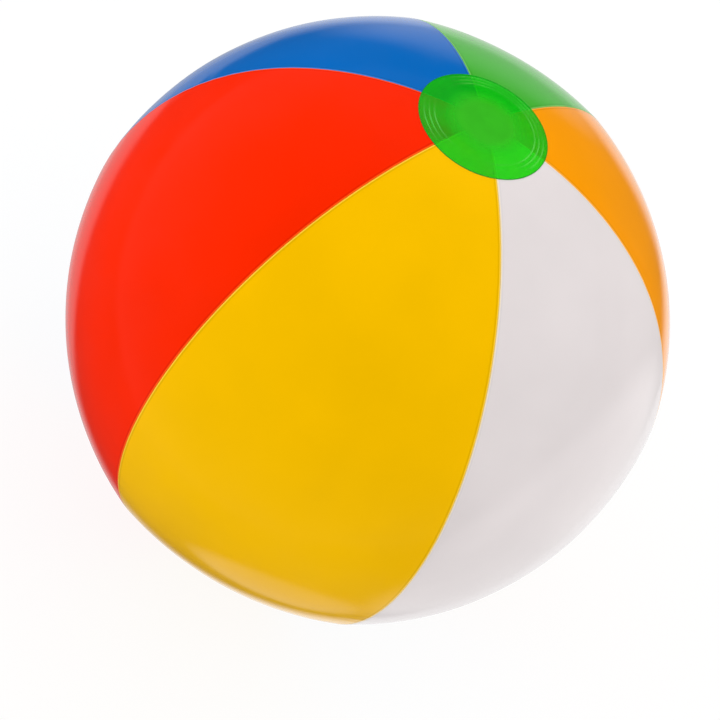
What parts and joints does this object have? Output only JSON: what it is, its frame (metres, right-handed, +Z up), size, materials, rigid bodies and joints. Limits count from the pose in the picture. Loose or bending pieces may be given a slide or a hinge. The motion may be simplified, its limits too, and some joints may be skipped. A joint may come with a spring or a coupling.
{
  "type": "inflatable beach ball",
  "caption": "Inflated vinyl beach ball of coloured gores with round discs over both poles, a push-in mouth valve in one gore and a flat pole to stand on.",
  "frame": {"origin": "centre of the flat bottom disc, which the ball stands on", "axes": "+Z up the polar axis through both discs; +Y out through the valve in the green gore; +X to the right, along a seam's plane"},
  "size_m": [0.38, 0.3774, 0.3731],
  "materials": {
    "vinyl_green": "glossy soft film",
    "vinyl_blue": "glossy soft film",
    "vinyl_red": "glossy soft film",
    "vinyl_yellow": "glossy soft film",
    "vinyl_white": "glossy soft film",
    "vinyl_orange": "glossy soft film",
    "vinyl_disc": "glossy, a little see-through",
    "valve_pvc": "clear soft moulding"
  },
  "bodies": {
    "ball": {"gore_green": "vinyl_green", "gore_blue": "vinyl_blue", "gore_red": "vinyl_red", "gore_yellow": "vinyl_yellow", "gore_white": "vinyl_white", "gore_orange": "vinyl_orange", "top_disc": "vinyl_disc", "bottom_disc": "vinyl_disc", "valve_flange": "valve_pvc", "valve_sleeve": "valve_pvc"},
    "valve": {"valve_stem": "valve_pvc", "plug_strap": "valve_pvc"},
    "flap": {"check_flap": "valve_pvc"},
    "plug": {"valve_plug": "valve_pvc"}
  },
  "joints": [
    {"name": "valve_slide", "type": "slide", "parent": "ball", "child": "valve", "axis": [0, 1, 0], "range_m": [0, 0.013], "deforming": ["valve_sleeve"]},
    {"name": "flap_hinge", "type": "hinge", "parent": "valve", "child": "flap", "pos_m": [0, 0.16998, 0.19214], "axis": [-1, 0, 0], "range_deg": [0, 60]},
    {"name": "plug_hinge", "type": "hinge", "parent": "valve", "child": "plug", "pos_m": [0, 0.18843, 0.19574], "axis": [1, 0, 0], "range_deg": [0, 120], "deforming": ["plug_strap"]}
  ]
}
